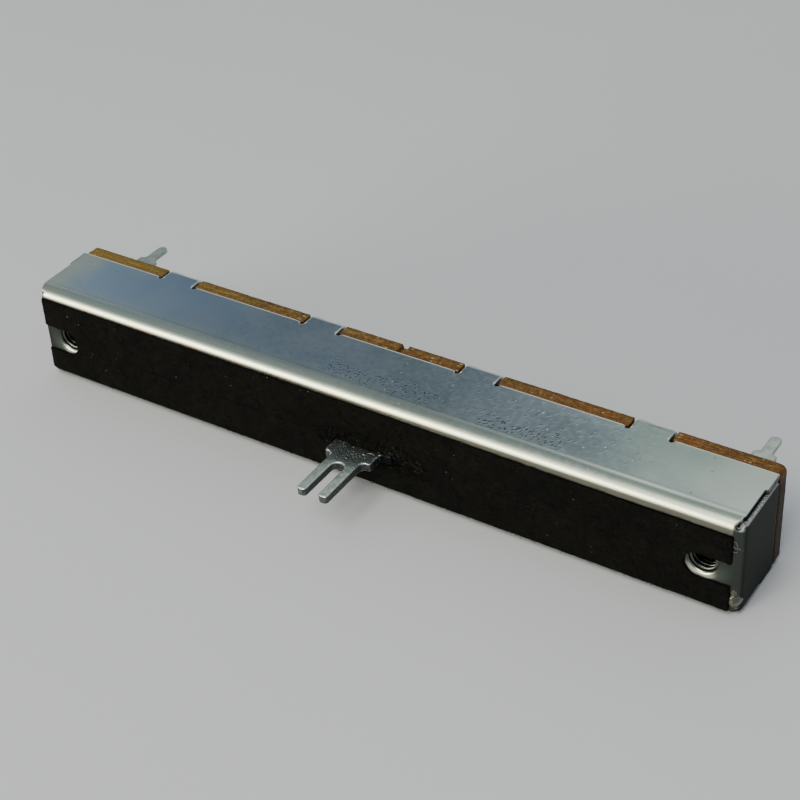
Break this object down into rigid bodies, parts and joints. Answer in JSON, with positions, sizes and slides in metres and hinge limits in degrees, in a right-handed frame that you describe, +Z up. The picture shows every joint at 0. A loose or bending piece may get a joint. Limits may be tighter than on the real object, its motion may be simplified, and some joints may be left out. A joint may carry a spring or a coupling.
{
  "type": "slide potentiometer",
  "caption": "Panel-mounted slide potentiometer: a folded steel case with a felt-covered slot, a sliding fork lever, a phenolic board and solder terminals.",
  "frame": {"origin": "on the metal panel face, midway between the two tapped M3 holes", "axes": "+X along the travel of the lever, -Y out of the panel face (the way the lever points), +Z up across the width of the case; it lies on its lower long side wall"},
  "size_m": [0.088, 0.0248, 0.012],
  "materials": {
    "plated_steel": "satin tin plating over folded steel",
    "black_felt": "pressed wool felt",
    "lever_steel": "stamped, nickel plated, pitted",
    "phenolic": "brown paper-phenolic laminate",
    "tinned_brass": "matte tin",
    "white_acetal": "moulded acetal",
    "black_nylon": "moulded nylon",
    "spring_bronze": "rolled strip",
    "rod_steel": "ground and polished",
    "stop_rubber": "matte",
    "carbon_ink": "printed resistive film",
    "silver_ink": "printed conductive film",
    "eyelet_brass": "plain"
  },
  "bodies": {
    "housing": {"case": "plated_steel", "dust_cover": "black_felt", "board": "phenolic", "terminal_left": "tinned_brass", "terminal_right": "tinned_brass", "terminal_wiper": "tinned_brass", "guide_rod_upper": "rod_steel", "guide_rod_lower": "rod_steel", "rod_block_left": "black_nylon", "rod_block_right": "black_nylon", "stop_pad_left": "stop_rubber", "stop_pad_right": "stop_rubber", "resistive_track": "carbon_ink", "collector_track": "silver_ink", "eyelet_left": "eyelet_brass", "eyelet_right": "eyelet_brass", "eyelet_wiper": "eyelet_brass"},
    "slider": {"lever": "lever_steel", "slider_carrier": "white_acetal", "wiper": "spring_bronze", "slider_spring_upper": "spring_bronze", "slider_spring_lower": "spring_bronze"}
  },
  "joints": [
    {"name": "slider_travel", "type": "slide", "parent": "housing", "child": "slider", "axis": [1, 0, 0], "range_m": [-0.03065, 0.02935]}
  ]
}
